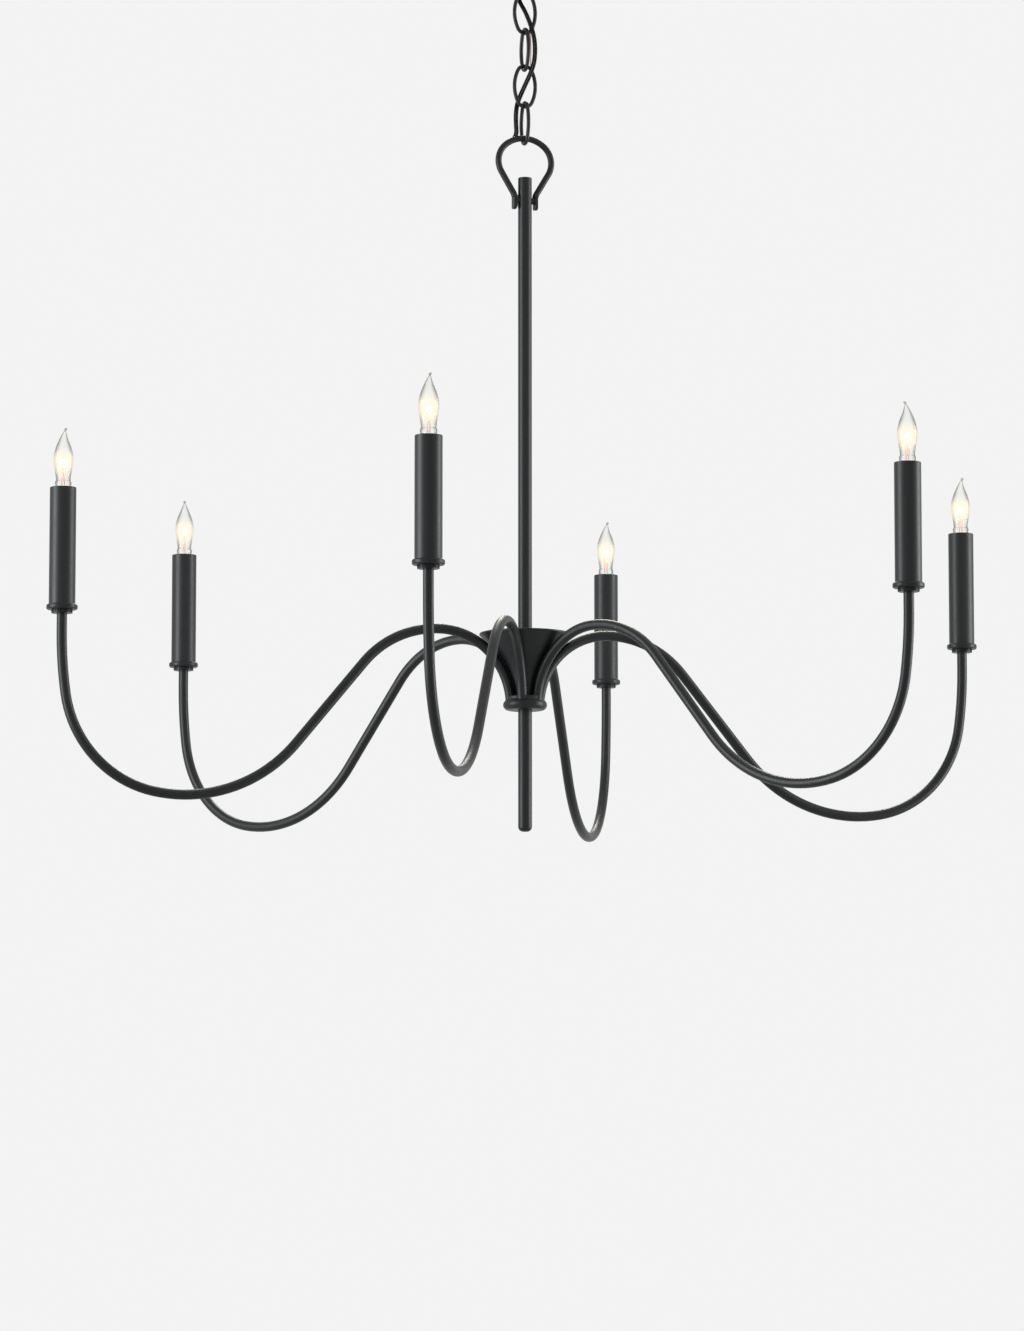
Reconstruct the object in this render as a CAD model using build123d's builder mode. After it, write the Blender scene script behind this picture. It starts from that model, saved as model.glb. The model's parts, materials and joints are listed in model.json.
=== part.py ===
from build123d import *
import os
from math import acos, cos, degrees, hypot, radians, sin, tan

os.makedirs("parts", exist_ok=True)

# Driving dimensions in millimetres and degrees, with z = 0 at the ceiling

# Ceiling set
canopy_r = 63.5
canopy_depth = 28.0
canopy_skirt = 11.0
canopy_flat_r = 16.0
canopy_edge_r = 8.0
canopy_wall = 1.2
bar_length = 104.0
bar_width = 19.0
bar_thickness = 3.0
box_screw_spacing = 88.9
box_screw_hole_r = 2.4
shank_r = 5.0
shank_bore_r = 3.5
shank_top_gap = 0.5
loop_wire = 5.0
loop_ring_r = 13.0
loop_boss_r = 9.0
loop_boss_height = 16.0
loop_drop = 8.4
loop_boss_edge = 1.5
loop_mouth_r = 6.0
loop_mouth_depth = 10.0

# Chain
link_count = 4
link_length = 50.6
link_width = 28.6
link_wire = 4.2
link_end_r = 9.0

# Bail and its pin
bail_wire = 7.0
bail_crown_r = 34.7
bail_crown_half_angle = 40.0
bail_shoulder_r = 24.4
bail_leg_angle = 31.0
bail_foot_r = 8.0
bail_eye_x = 12.4
bail_eye_thickness = 3.4
bail_eye_width = 9.0
bail_eye_height = 18.0
bail_eye_below_pin = 10.0
bail_eye_round = 3.2
bail_eye_drop = 4.0
pin_r = 3.7
pin_end_r = 2.6

# Stem and lower rod
stem_r = 7.65
stem_bore_r = 5.65
stem_length = 581.9
stem_above_pin = 25.9
stem_cap = 3.0
stem_edge = 0.8
cord_slot_width = 8.0
cord_slot_height = 22.0
cord_slot_below_pin = 22.0
rod_length = 134.0
rod_end_round = 5.5
nipple_wall = 1.4
nipple_reach = 16.0

# Hub
collar_r = 24.2
collar_height = 14.5
collar_bead_r = 5.8
collar_bead_angle = 45.0
collar_neck_r = 21.9
collar_roof = 5.5
collar_wall = 3.9
flange_r = 15.5
flange_thickness = 2.5
cone_wall = 1.6
cone_flare_heading = 50.3
cone_rise = 70.7
cover_thickness = 2.4
cover_lip = 0.8

# Arms
arm_count = 6
arm_r = 5.55
arm_bore_r = 3.6
arm_root_r = 16.8
arm_socket_depth = 6.5
arm_root_heading = 87.6
arm_rise_r = 82.0
arm_top_heading = 1.0
arm_crown_r = 113.0
arm_slope_heading = -50.0
arm_dip_r = 168.0
arm_dip_heading = 10.5
arm_turn_r = 121.5
arm_turn_heading = 81.5
arm_finish_r = 450.0
arm_post = 19.9
spigot_r = 4.85
spigot_top = 7.0
candle_circle_r = 525.0

# Candles
nut_r = 11.4
nut_height = 3.7
nut_teeth = 36
nut_groove_r = 0.55
cup_r = 16.8
cup_height = 5.7
cup_edge = 1.9
cup_recess = 0.6
sleeve_r = 14.2
sleeve_wall = 1.3
sleeve_length = 127.0
sleeve_edge = 0.5
socket_foot_r = 11.4
socket_foot_height = 9.0
socket_post_r = 7.0
socket_body_r = 11.4
socket_body_height = 38.0
socket_below_sleeve = 10.8

# Bulbs
base_r = 5.95
base_length = 17.0
base_flange_r = 6.9
base_flange_height = 1.5
contact_r = 3.0
contact_height = 2.5
glass_wall = 0.8
glass_neck_r = 6.4
glass_skirt_r = 8.9
glass_skirt_height = 4.5
glass_waist_r = 8.0
glass_waist_height = 9.5
glass_belly_r = 10.9
glass_belly_height = 30.0
glass_shoulder_r = 9.0
glass_shoulder_height = 41.8
glass_taper_r = 4.6
glass_taper_height = 53.0
glass_tip_r = 1.3
glass_tip_height = 61.5
glass_height = 65.0
glass_below_sleeve = 9.0
mount_post_r = 2.0
mount_post_height = 13.0
filament_sink = 1.0
filament_wire_r = 0.3
filament_half_width = 3.4
filament_low = 23.0
filament_high = 33.0
filament_bend_r = 0.5
filament_peaks = 3

# Wiring
cord_width = 5.3
cord_thickness = 2.7
earth_wire_r = 0.5
lead_r = 1.1
lead_bend_r = 3.2
stem_cord_r = 2.2
splice_r = 3.4
splice_height = 14.0

# Clearances
wire_gap = 0.3
running_gap = 0.05
seat_gap = 0.15
cone_gap = 0.25
lead_gap = 0.25

# Heights from the ceiling down
loop_ring_z = -canopy_depth - loop_boss_height - loop_drop
loop_wire_z = loop_ring_z - loop_ring_r
link_rise = link_length - link_wire
link_top_z = [loop_wire_z + (loop_wire + link_wire) / 2 + wire_gap]
for _ in range(link_count - 1):
    link_top_z.append(link_top_z[-1] - link_rise + link_wire + wire_gap)
bail_crown_z = link_top_z[-1] - link_rise + (link_wire + bail_wire) / 2 + wire_gap


# Plane curves made of straight runs and tangent bends
def walk(start, heading, steps):
    """Return the segments and the end of a curve; a step is (length,) or (radius, new heading)."""
    point = start
    segments = []
    for step in steps:
        if len(step) == 1:
            end = (point[0] + step[0] * cos(radians(heading)), point[1] + step[0] * sin(radians(heading)))
            segments.append((point, end))
        else:
            radius, new_heading = step
            side = 1 if new_heading > heading else -1
            centre = (
                point[0] - side * radius * sin(radians(heading)),
                point[1] + side * radius * cos(radians(heading)),
            )
            middle, end = (
                (centre[0] + side * radius * sin(radians(a)), centre[1] - side * radius * cos(radians(a)))
                for a in ((heading + new_heading) / 2, new_heading)
            )
            segments.append((point, middle, end))
            heading = new_heading
        point = end
    return segments, point


def trace(segments):
    """Draw segments from walk in the current line."""
    for points in segments:
        if len(points) == 2:
            Line(*points)
        else:
            ThreePointArc(*points)


def radial_plane(index):
    """Upright plane through the axis along an arm: local x is the radius, local y is the height."""
    turn = radians(360 / arm_count * index)
    return Plane(origin=(0, 0, 0), x_dir=(cos(turn), sin(turn), 0), z_dir=(sin(turn), -cos(turn), 0))


def start_plane(path, x_dir=None):
    """Plane square to the start of a path."""
    return Plane(origin=path.line @ 0, x_dir=x_dir, z_dir=path.line % 0)


def save(piece, name):
    """Label a finished piece and write it."""
    piece.part.label = name
    export_step(piece.part, f"parts/{name}.step")


# Bail centreline, its right half from the crown down to the eye
bail_shoulder_end = -90.0 - bail_leg_angle
bail_bends = [(bail_crown_r, -bail_crown_half_angle), (bail_shoulder_r, bail_shoulder_end)]
bail_top, bail_leg_start = walk((0.0, bail_crown_z), 0.0, bail_bends)
foot_inset = bail_foot_r * (1 - cos(radians(bail_leg_angle)))
bail_leg_run = (bail_leg_start[0] - bail_eye_x - foot_inset) / sin(radians(bail_leg_angle))
bail_leg, bail_foot = walk(bail_leg_start, bail_shoulder_end, [(bail_leg_run,), (bail_foot_r, -90.0)])
pin_z = bail_foot[1] - bail_eye_drop

stem_top_z = pin_z + stem_above_pin
collar_z = stem_top_z - stem_length
collar_bottom_z = collar_z - collar_height
cover_z = collar_z + cone_rise

# Arm centreline: radius and height
arm_root = (arm_root_r, collar_z - arm_socket_depth)
arm_bends_in = [(arm_rise_r, arm_top_heading), (arm_crown_r, arm_slope_heading)]
arm_bends_out = [(arm_dip_r, arm_dip_heading), (arm_turn_r, arm_turn_heading), (arm_finish_r, 90.0)]
arm_reach = walk(arm_root, arm_root_heading, arm_bends_in + arm_bends_out)[1][0]
arm_slope = (candle_circle_r - arm_reach) / cos(radians(arm_slope_heading))
arm_steps = arm_bends_in + [(arm_slope,)] + arm_bends_out + [(arm_post,)]
arm_curve, arm_end = walk(arm_root, arm_root_heading, arm_steps)
seat_z = arm_end[1] + nut_height + cup_height
arm_rise_centre = (
    arm_root[0] + arm_rise_r * sin(radians(arm_root_heading)),
    arm_root[1] - arm_rise_r * cos(radians(arm_root_heading)),
)

sleeve_top = sleeve_length - cup_recess
socket_top = sleeve_top - socket_below_sleeve
glass_bottom = sleeve_top - glass_below_sleeve
lead_z = arm_root[1] - lead_bend_r * (1 - cos(radians(arm_root_heading)))


def candle_plane(index, height=0.0):
    """Upright plane through a candle's own axis: local x is its radius, local y the height above its cup."""
    base = radial_plane(index)
    return Plane(
        origin=base.from_local_coords((candle_circle_r, seat_z + height)),
        x_dir=base.x_dir,
        z_dir=base.z_dir,
    )


def candle_floor(index, height):
    """Level plane centred on a candle, at a height above its cup."""
    return Plane(origin=candle_plane(index, height).origin)


def candle_axis(index):
    """A candle's upright axis."""
    return Axis(candle_plane(index).origin, (0, 0, 1))


# Canopy against the ceiling
with BuildPart() as canopy:
    with BuildSketch(Plane.XZ):
        with BuildLine():
            FilletPolyline(
                (canopy_r, 0),
                (canopy_r, -canopy_skirt),
                (canopy_flat_r, -canopy_depth),
                (0, -canopy_depth),
                radius=(canopy_edge_r, canopy_edge_r),
            )
            Polyline((0, -canopy_depth), (0, 0), (canopy_r, 0))
        make_face()
    revolve()
    offset(amount=-canopy_wall, openings=canopy.faces().sort_by(Axis.Z)[-1])
    Cylinder(shank_r + running_gap, 3 * canopy_depth, mode=Mode.SUBTRACT)
save(canopy, "canopy")

# Bar that screws to the ceiling box
with BuildPart() as mounting_bar:
    with BuildSketch():
        RectangleRounded(bar_length, bar_width, bar_width / 4)
        Circle(shank_r + running_gap, mode=Mode.SUBTRACT)
        with GridLocations(box_screw_spacing, 0, 2, 1):
            Circle(box_screw_hole_r, mode=Mode.SUBTRACT)
    extrude(amount=-bar_thickness)
save(mounting_bar, "mounting_bar")

# Loop under the canopy, with its hollow shank
with BuildPart() as canopy_loop:
    with BuildSketch(Plane.XY.offset(-canopy_depth)):
        Circle(loop_boss_r)
    extrude(amount=-loop_boss_height)
    fillet(canopy_loop.edges().filter_by(GeomType.CIRCLE), loop_boss_edge)
    with BuildSketch(Plane.XY.offset(-canopy_depth)):
        Circle(shank_r)
    extrude(amount=canopy_depth - shank_top_gap)
    with Locations((0, 0, loop_ring_z)):
        Torus(loop_ring_r, loop_wire / 2, rotation=(0, 90, 0))
    with BuildSketch(Plane.XY):
        Circle(shank_bore_r)
    extrude(amount=loop_ring_z, mode=Mode.SUBTRACT)
    with Locations((0, 0, loop_ring_z + loop_drop + loop_mouth_depth / 2)):
        Cone(loop_mouth_r, shank_bore_r, loop_mouth_depth, mode=Mode.SUBTRACT)
save(canopy_loop, "canopy_loop")

# Chain links: oval wire rings, each turned a quarter from the last
half_rise = link_rise / 2
half_span = (link_width - link_wire) / 2
end_centre = half_rise - link_end_r
link_side_r = (half_span**2 + end_centre**2 - link_end_r**2) / (2 * (half_span - link_end_r))
side_centre = half_span - link_side_r
meet = link_side_r / hypot(side_centre, end_centre)
meet_x = side_centre + link_side_r * -side_centre / hypot(side_centre, end_centre)
meet_y = end_centre * meet

for index in range(link_count):
    middle_z = link_top_z[index] - half_rise
    facing = Plane.XZ if index % 2 == 0 else Plane.YZ
    with BuildPart() as chain_link:
        with BuildLine(Plane((0, 0, middle_z), facing.x_dir, facing.z_dir)) as oval:
            ThreePointArc((meet_x, -meet_y), (half_span, 0), (meet_x, meet_y))
            ThreePointArc((meet_x, meet_y), (0, half_rise), (-meet_x, meet_y))
            ThreePointArc((-meet_x, meet_y), (-half_span, 0), (-meet_x, -meet_y))
            ThreePointArc((-meet_x, -meet_y), (0, -half_rise), (meet_x, -meet_y))
        with BuildSketch(start_plane(oval)):
            Circle(link_wire / 2)
        sweep()
    save(chain_link, f"chain_link_{index + 1}")

# Bail: one bent rod with a flat eye at each end
with BuildPart() as hanger_bail:
    with BuildLine(Plane.XZ) as half_bail:
        trace(bail_top + bail_leg)
    with BuildSketch(start_plane(half_bail)):
        Circle(bail_wire / 2)
    sweep()
    with BuildSketch(Plane.YZ.offset(bail_eye_x - bail_eye_thickness / 2)):
        with Locations((0, pin_z + bail_eye_height / 2 - bail_eye_below_pin)):
            RectangleRounded(bail_eye_width, bail_eye_height, bail_eye_round)
    extrude(amount=bail_eye_thickness)
    mirror(about=Plane.YZ)
    with BuildSketch(Plane.YZ):
        with Locations((0, pin_z)):
            Circle(pin_end_r + running_gap)
    extrude(amount=2 * bail_eye_x, both=True, mode=Mode.SUBTRACT)
save(hanger_bail, "hanger_bail")

# Pin through the stem, stepped down where it goes through the bail's eyes
with BuildPart() as bail_pin:
    for radius, reach in (
        (pin_r, bail_eye_x - bail_eye_thickness / 2 - wire_gap),
        (pin_end_r, bail_eye_x + bail_eye_thickness / 2),
    ):
        with BuildSketch(Plane.YZ):
            with Locations((0, pin_z)):
                Circle(radius)
        extrude(amount=reach, both=True)
save(bail_pin, "bail_pin")

# Stem: a tube closed at the top, with the pin's hole and the cord's slot at the back
with BuildPart() as stem:
    with BuildSketch(Plane.XY.offset(collar_z)):
        Circle(stem_r)
    extrude(amount=stem_length)
    fillet(stem.edges().sort_by(Axis.Z)[-1], stem_edge)
    with BuildSketch(Plane.XY.offset(collar_z)):
        Circle(stem_bore_r)
    extrude(amount=stem_length - stem_cap, mode=Mode.SUBTRACT)
    with BuildSketch(Plane.YZ):
        with Locations((0, pin_z)):
            Circle(pin_r)
    extrude(amount=2 * stem_r, both=True, mode=Mode.SUBTRACT)
    with BuildSketch(Plane.XZ):
        with Locations((0, pin_z - cord_slot_below_pin)):
            SlotOverall(cord_slot_height, cord_slot_width, rotation=90)
    extrude(amount=-2 * stem_r, mode=Mode.SUBTRACT)
save(stem, "stem")

# Rod below the hub, with the flange that closes the collar
with BuildPart() as finial_rod:
    with BuildSketch(Plane.XY.offset(collar_bottom_z + flange_thickness)):
        Circle(flange_r)
    extrude(amount=-flange_thickness)
    with BuildSketch(Plane.XY.offset(collar_bottom_z)):
        Circle(stem_r)
    extrude(amount=-rod_length)
    fillet(finial_rod.edges().sort_by(Axis.Z)[0], rod_end_round)
    with BuildSketch(Plane.XY.offset(collar_bottom_z + flange_thickness)):
        Circle(stem_bore_r)
    extrude(amount=-flange_thickness - nipple_reach, mode=Mode.SUBTRACT)
save(finial_rod, "finial_rod")

# Hollow nipple that joins the stem, the collar and the rod, drilled for the leads
nipple_r = stem_bore_r - running_gap
with BuildPart() as hub_nipple:
    with BuildSketch(Plane.XY.offset(collar_z + nipple_reach)):
        Circle(nipple_r)
        Circle(nipple_r - nipple_wall, mode=Mode.SUBTRACT)
    extrude(amount=-collar_height - 2 * nipple_reach)
    for index in range(arm_count):
        across = radial_plane(index)
        with BuildSketch(Plane(origin=(0, 0, lead_z), x_dir=across.z_dir, z_dir=across.x_dir)):
            Circle(lead_r + lead_gap)
        extrude(amount=2 * nipple_r, mode=Mode.SUBTRACT)
save(hub_nipple, "hub_nipple")

# Collar: a rounded bead with six sockets in its roof and a hollow below for the leads
bead_z = collar_bottom_z + collar_bead_r
bead_centre_r = collar_r - collar_bead_r
bead_turn = (cos(radians(collar_bead_angle)), sin(radians(collar_bead_angle)))
bead_end = (bead_centre_r + collar_bead_r * bead_turn[0], bead_z + collar_bead_r * bead_turn[1])
socket_turn = degrees(2 * arm_socket_depth / arm_rise_r)
with BuildPart() as hub_collar:
    with BuildSketch(Plane.XZ):
        with BuildLine():
            Line((0, collar_bottom_z), (bead_centre_r, collar_bottom_z))
            ThreePointArc((bead_centre_r, collar_bottom_z), (collar_r, bead_z), bead_end)
            TangentArc(bead_end, (collar_neck_r, collar_z), tangent=(-bead_turn[1], bead_turn[0]))
            Polyline((collar_neck_r, collar_z), (0, collar_z), (0, collar_bottom_z))
        make_face()
    revolve()
    with BuildSketch(Plane.XY.offset(collar_bottom_z)):
        Circle(flange_r + running_gap)
    extrude(amount=flange_thickness, mode=Mode.SUBTRACT)
    with BuildSketch(Plane.XY.offset(collar_bottom_z + flange_thickness)):
        Circle(collar_r - collar_wall)
    extrude(amount=collar_height - flange_thickness - collar_roof, mode=Mode.SUBTRACT)
    with BuildSketch(Plane.XY.offset(collar_z)):
        Circle(nipple_r + running_gap)
    extrude(amount=-collar_height, mode=Mode.SUBTRACT)
    for index in range(arm_count):
        with BuildLine(radial_plane(index)) as socket_line:
            trace(walk(arm_root, arm_root_heading, [(arm_rise_r, arm_root_heading - socket_turn)])[0])
        with BuildSketch(start_plane(socket_line)):
            Circle(arm_r + running_gap)
        sweep(mode=Mode.SUBTRACT)
save(hub_collar, "hub_collar")

# Trumpet cone: follows the arms' inner side, then flares straight to its rim
cone_r = arm_rise_r + arm_r + cone_gap


def cone_point(heading):
    """Point of the cone's curve where it runs at a heading."""
    return (
        arm_rise_centre[0] - cone_r * sin(radians(heading)),
        arm_rise_centre[1] + cone_r * cos(radians(heading)),
    )


cone_rim_z = cover_z - cover_thickness
cone_foot_heading = degrees(acos((collar_z - arm_rise_centre[1]) / cone_r))
cone_foot = cone_point(cone_foot_heading)
cone_bend = cone_point(cone_flare_heading)
cone_rim_r = cone_bend[0] + (cone_rim_z - cone_bend[1]) / tan(radians(cone_flare_heading))
with BuildPart() as hub_cone:
    with BuildSketch(Plane.XZ):
        with BuildLine():
            ThreePointArc(cone_foot, cone_point((cone_foot_heading + cone_flare_heading) / 2), cone_bend)
            Polyline(cone_bend, (cone_rim_r, cone_rim_z), (0, cone_rim_z), (0, collar_z), cone_foot)
        make_face()
    revolve()
    offset(amount=-cone_wall, openings=hub_cone.faces().sort_by(Axis.Z)[-1])
    with BuildSketch(Plane.XY.offset(collar_z)):
        Circle(stem_r + running_gap)
    extrude(amount=cone_rise, mode=Mode.SUBTRACT)
save(hub_cone, "hub_cone")

with BuildPart() as hub_cover:
    with BuildSketch(Plane.XY.offset(cone_rim_z)):
        Circle(cone_rim_r + cover_lip)
        Circle(stem_r + running_gap, mode=Mode.SUBTRACT)
    extrude(amount=cover_thickness)
    fillet(hub_cover.edges().group_by(SortBy.LENGTH)[-1], cover_thickness / 3)
save(hub_cover, "hub_cover")

# Arms: bent tubes, each with a threaded spigot on top
for index in range(arm_count):
    with BuildPart() as arm:
        with BuildLine(radial_plane(index)) as arm_line:
            trace(arm_curve)
        with BuildSketch(start_plane(arm_line)):
            Circle(arm_r)
            Circle(arm_bore_r, mode=Mode.SUBTRACT)
        sweep()
        with BuildSketch(candle_floor(index, -cup_height - nut_height)):
            Circle(spigot_r)
            Circle(arm_bore_r, mode=Mode.SUBTRACT)
        extrude(amount=cup_height + nut_height + spigot_top)
    save(arm, f"arm_{index + 1}")

# Serrated nuts under the cups
with BuildPart() as cup_nuts:
    for index in range(arm_count):
        with BuildSketch(candle_floor(index, -cup_height)):
            Circle(nut_r)
            Circle(spigot_r + running_gap, mode=Mode.SUBTRACT)
            with PolarLocations(nut_r, nut_teeth):
                Circle(nut_groove_r, mode=Mode.SUBTRACT)
        extrude(amount=-nut_height)
save(cup_nuts, "cup_nuts")

# Cups, sleeves and sockets
for index in range(arm_count):
    with BuildPart() as candle_cup:
        with BuildSketch(candle_floor(index, -cup_height)):
            Circle(cup_r)
            Circle(spigot_r + running_gap, mode=Mode.SUBTRACT)
        extrude(amount=cup_height)
        fillet(candle_cup.edges().group_by(SortBy.LENGTH)[-1], cup_edge)
        with BuildSketch(candle_floor(index, 0)):
            Circle(sleeve_r + seat_gap)
        extrude(amount=-cup_recess, mode=Mode.SUBTRACT)
    save(candle_cup, f"candle_cup_{index + 1}")

for index in range(arm_count):
    with BuildPart() as candle_sleeve:
        with BuildSketch(candle_floor(index, -cup_recess)):
            Circle(sleeve_r)
            Circle(sleeve_r - sleeve_wall, mode=Mode.SUBTRACT)
        extrude(amount=sleeve_length)
        fillet(candle_sleeve.edges().group_by(Axis.Z)[-1].sort_by(SortBy.LENGTH)[-1], sleeve_edge)
    save(candle_sleeve, f"candle_sleeve_{index + 1}")

spigot_room = spigot_top + seat_gap
socket_bore = base_length + contact_height + seat_gap
with BuildPart() as lamp_sockets:
    for index in range(arm_count):
        with BuildSketch(candle_floor(index, -cup_recess)):
            Circle(socket_foot_r)
        extrude(amount=socket_foot_height)
        with BuildSketch(candle_floor(index, -cup_recess)):
            Circle(socket_post_r)
        extrude(amount=socket_top - socket_body_height + cup_recess)
        with BuildSketch(candle_floor(index, socket_top)):
            Circle(socket_body_r)
        extrude(amount=-socket_body_height)
        with BuildSketch(candle_floor(index, socket_top)):
            Circle(base_r + seat_gap)
        extrude(amount=-socket_bore, mode=Mode.SUBTRACT)
        with BuildSketch(candle_floor(index, -cup_recess)):
            Circle(spigot_r + running_gap)
        extrude(amount=spigot_room + cup_recess, mode=Mode.SUBTRACT)
save(lamp_sockets, "lamp_sockets")


# Bulbs
glass_tip = sleeve_top + glass_tip_height
glass_crown = sleeve_top + glass_height
glass_nib = glass_crown - glass_tip_r


def glass_side(inset):
    """Draw one side of the flame, from its neck up to its tip."""
    Spline(
        (glass_neck_r - inset, glass_bottom),
        (glass_skirt_r - inset, sleeve_top + glass_skirt_height),
        (glass_waist_r - inset, sleeve_top + glass_waist_height),
        (glass_belly_r - inset, sleeve_top + glass_belly_height),
        (glass_shoulder_r - inset, sleeve_top + glass_shoulder_height),
        (glass_taper_r - inset, sleeve_top + glass_taper_height),
        (glass_tip_r - inset, glass_tip),
        tangents=((0, 1), (0, 1)),
    )


zigzag = [
    (filament_half_width * (number / filament_peaks - 1), filament_high if number % 2 else filament_low)
    for number in range(2 * filament_peaks + 1)
]
filament_foot = mount_post_height - filament_sink
for index in range(arm_count):
    with BuildPart() as bulb_glass:
        with BuildSketch(candle_plane(index)):
            with BuildLine():
                glass_side(0)
                Line((glass_tip_r, glass_tip), (glass_tip_r, glass_nib))
                RadiusArc((glass_tip_r, glass_nib), (0, glass_crown), -glass_tip_r)
                Polyline((0, glass_crown), (0, glass_bottom), (glass_neck_r, glass_bottom))
            make_face()
        revolve(axis=candle_axis(index))
        with BuildSketch(candle_plane(index)):
            with BuildLine():
                glass_side(glass_wall)
                Line((glass_tip_r - glass_wall, glass_tip), (0, glass_tip))
                Polyline((0, glass_tip), (0, glass_bottom), (glass_neck_r - glass_wall, glass_bottom))
            make_face()
        revolve(axis=candle_axis(index), mode=Mode.SUBTRACT)
    save(bulb_glass, f"bulb_glass_{index + 1}")

    with BuildPart() as bulb_base:
        with BuildSketch(candle_floor(index, glass_bottom)):
            Circle(base_flange_r)
        extrude(amount=-base_flange_height)
        with BuildSketch(candle_floor(index, glass_bottom - base_flange_height)):
            Circle(base_r)
        extrude(amount=-base_length)
        with BuildSketch(candle_floor(index, glass_bottom - base_flange_height - base_length)):
            Circle(contact_r)
        extrude(amount=-contact_height + seat_gap)
    save(bulb_base, f"bulb_base_{index + 1}")

    with BuildPart() as filament:
        with BuildSketch(candle_floor(index, glass_bottom)):
            Circle(mount_post_r)
        extrude(amount=mount_post_height + glass_below_sleeve)
        with BuildLine(candle_plane(index, sleeve_top)) as filament_line:
            FilletPolyline(
                (-mount_post_r / 2, filament_foot),
                *zigzag,
                (mount_post_r / 2, filament_foot),
                radius=filament_bend_r,
            )
        with BuildSketch(start_plane(filament_line)):
            Circle(filament_wire_r)
        sweep()
    save(filament, f"filament_{index + 1}")

# Supply cord and its earth wire: the route from the canopy's shank, through the chain and behind the bail,
# into the slot in the stem; each stretch crosses one joint and meets the next halfway along a run
cord_route = [
    (0.0, 0.0, -9.0),
    (0.0, 0.0, -40.0),
    (-6.2, 4.4, -61.0),
    (-5.8, 4.2, -69.0),
    (0.3, -0.6, -82.0),
    (4.0, -4.6, -95.0),
    (7.4, -5.2, -105.0),
    (10.2, -4.7, -117.0),
    (10.6, -4.3, -130.0),
    (9.2, -4.9, -141.0),
    (6.2, -5.3, -150.0),
    (2.4, -3.0, -160.0),
    (-1.2, 0.6, -169.5),
    (-4.2, 4.0, -178.0),
    (-7.2, 6.0, -187.0),
    (-8.6, 6.1, -199.0),
    (-8.2, 6.3, -211.0),
    (-7.4, 6.6, -220.5),
    (-11.5, 6.0, -228.0),
    (-20.4, 5.5, -233.6),
    (-26.8, 5.5, -242.0),
    (-29.1, 5.5, -253.2),
    (-26.3, 5.5, -263.8),
    (-19.3, 5.6, -275.5),
    (-13.1, 6.2, -285.8),
    (-5.5, 11.0, -292.0),
    (-1.0, 12.4, -303.0),
    (0.0, 11.0, -313.0),
    (0.0, 6.5, -321.0),
    (0.0, 1.5, -328.0),
    (0.0, 0.0, -339.0),
]
cord_breaks = [4, 7, 11, 15, 21, 29]
earth_beside = (0.0, 2.3, 0.0)
earth_apart = {
    6: (-2.8, 1.8, 0.0),
    7: (-5.2, -1.0, 0.0),
    8: (-5.2, -1.0, 0.0),
    9: (-3.6, 1.7, 0.0),
    25: (0.0, 2.8, 0.0),
    26: (0.0, 2.8, 0.0),
    27: (0.0, 2.1, -1.2),
    28: (0.0, 2.1, -1.2),
    29: (0.0, 2.7, -1.2),
    30: (0.0, 3.0, 0.0),
    31: (0.0, 3.0, 0.0),
}
splice_top_z = lead_z + splice_height / 2
cord_route.append((0.0, 0.0, splice_top_z + wire_gap))
earth_route = [
    tuple(c + s for c, s in zip(point, earth_apart.get(number, earth_beside)))
    for number, point in enumerate(cord_route)
]
bend_share = 0.45


def bend_radius(before, corner, after):
    """Largest arc that the shorter of two runs leaves room for."""
    arriving = Vector(corner) - Vector(before)
    leaving = Vector(after) - Vector(corner)
    turn = arriving.get_angle(leaving)
    return bend_share * min(arriving.length, leaving.length) / tan(radians(turn / 2))


def run_middle(route, number):
    """Point halfway along the run that follows a point of the route."""
    return tuple((a + b) / 2 for a, b in zip(route[number], route[number + 1]))


def stretch(route, first, last):
    """Points and bend radii between the middles of two runs, or the route's own ends."""
    corners = range(first + 1, last + 1) if first >= 0 else range(1, last + 1)
    start = run_middle(route, first) if first >= 0 else route[0]
    end = run_middle(route, last) if last + 1 < len(route) - 1 else route[-1]
    radii = [bend_radius(*route[number - 1 : number + 2]) for number in corners]
    return [start, *(route[number] for number in corners), end], radii


def sweep_cord(route, first, last, width, thickness):
    """Add one stretch of a cord to the current part: round, or flat where its width is larger."""
    points, radii = stretch(route, first, last)
    with BuildLine() as line:
        FilletPolyline(*points, radius=radii)
    with BuildSketch(start_plane(line, x_dir=(1, 0, 0))) as section:
        if width > thickness:
            SlotOverall(width, thickness)
        else:
            Circle(thickness / 2)
    sweep(section.sketch, path=line.line)
    return min(radii)


tightest = []
for number, (first, last) in enumerate(zip([-1] + cord_breaks, cord_breaks)):
    with BuildPart() as supply_cord:
        tightest.append(sweep_cord(cord_route, first, last, cord_width, cord_thickness))
        sweep_cord(earth_route, first, last, 0, 2 * earth_wire_r)
    save(supply_cord, f"supply_cord_{number + 1}")
print("cord bends, tightest radius of each stretch:", [round(r, 1) for r in tightest])

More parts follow.
